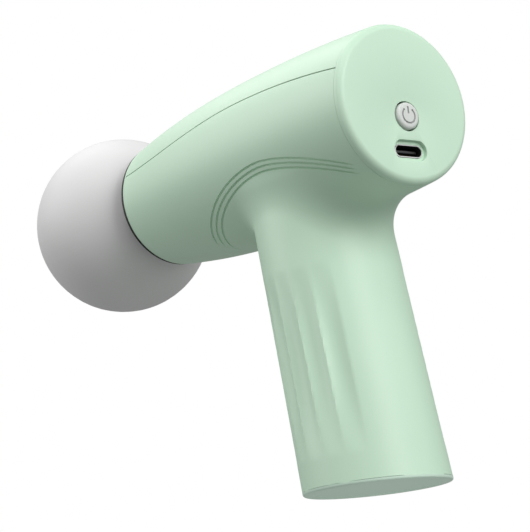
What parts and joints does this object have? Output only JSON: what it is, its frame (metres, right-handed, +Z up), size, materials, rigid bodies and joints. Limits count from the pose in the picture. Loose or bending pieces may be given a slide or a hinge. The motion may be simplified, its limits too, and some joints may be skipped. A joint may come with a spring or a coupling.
{
  "type": "massage gun",
  "caption": "Handheld massage gun: round barrel on a raked round handle, ball head on a piston, power button and charging socket on the rear face.",
  "frame": {"origin": "centre of the handle's flat base", "axes": "+X forward along the barrel to the ball head, +Z up from the base to the barrel, XZ is the outer shape's plane of symmetry"},
  "size_m": [0.1578, 0.0518, 0.1204],
  "materials": {
    "housing_shell": "satin",
    "base_cap": "satin",
    "ball": "satin",
    "button": "satin",
    "black_rubber": "matte",
    "frame_plastic": "matte",
    "black_plastic": "satin",
    "steel": "satin",
    "aluminium": "satin",
    "copper": "satin",
    "bronze": "satin",
    "board": "satin",
    "cell": "satin",
    "red_sleeve": "satin",
    "foam": "matte"
  },
  "bodies": {
    "housing": {"main_housing": "housing_shell", "top_cover": "housing_shell", "rear_cap": "housing_shell", "nose_ring": "housing_shell", "handle_base_cap": "base_cap", "dust_seal": "black_rubber", "rear_damper": "black_rubber", "front_damper": "black_rubber", "battery_lead_black": "black_rubber", "motor_lead": "black_rubber", "drive_frame": "frame_plastic", "tact_switch": "frame_plastic", "cell_holder_lower": "frame_plastic", "cell_holder_upper": "frame_plastic", "usb_tongue": "black_plastic", "controller_chip": "black_plastic", "mosfet_1": "black_plastic", "mosfet_2": "black_plastic", "mosfet_3": "black_plastic", "battery_connector": "black_plastic", "stator_core": "steel", "motor_bearing_outer": "steel", "motor_bearing_inner": "steel", "motor_screw_1": "steel", "motor_screw_2": "steel", "motor_screw_3": "steel", "usb_shell": "steel", "board_screw_left": "steel", "board_screw_right": "steel", "cell_strip_lower": "steel", "cell_strip_upper": "steel", "motor_base": "aluminium", "smoothing_capacitor": "aluminium", "stator_windings": "copper", "rear_bushing": "bronze", "front_bushing": "bronze", "control_board": "board", "battery_cell_1": "cell", "battery_cell_2": "cell", "battery_cell_3": "cell", "battery_lead_red": "red_sleeve", "battery_foam_pad": "foam"},
    "crank": {"crank_disc": "steel", "crank_pin": "steel", "crank_roller": "bronze", "motor_shaft": "steel", "rotor_can": "steel", "magnet_ring": "black_plastic"},
    "piston": {"piston_rod": "aluminium", "yoke": "frame_plastic", "rod_cross_pin": "steel"},
    "massage_head": {"massage_ball": "ball", "ball_core": "frame_plastic", "stem_o_ring": "black_rubber"},
    "button": {"power_button": "button", "tact_plunger": "black_plastic"}
  },
  "joints": [
    {"name": "crank_turn", "type": "hinge", "parent": "housing", "child": "crank", "pos_m": [0.002, 0, 0.0945], "axis": [0, 1, 0], "range_deg": [-90, 90]},
    {"name": "piston_stroke", "type": "slide", "parent": "housing", "child": "piston", "axis": [1, 0, 0], "range_m": [-0.003, 0.003]},
    {"name": "head_pull_off", "type": "slide", "parent": "piston", "child": "massage_head", "axis": [1, 0, 0], "range_m": [0, 0.03]},
    {"name": "power_button", "type": "slide", "parent": "housing", "child": "button", "axis": [1, 0, 0], "range_m": [0, 0.0004], "stiffness_N_per_m": 3000}
  ],
  "couplings": [
    {"joint": "piston_stroke", "follows": "crank_turn", "m_per_rad": 0.0019098}
  ]
}
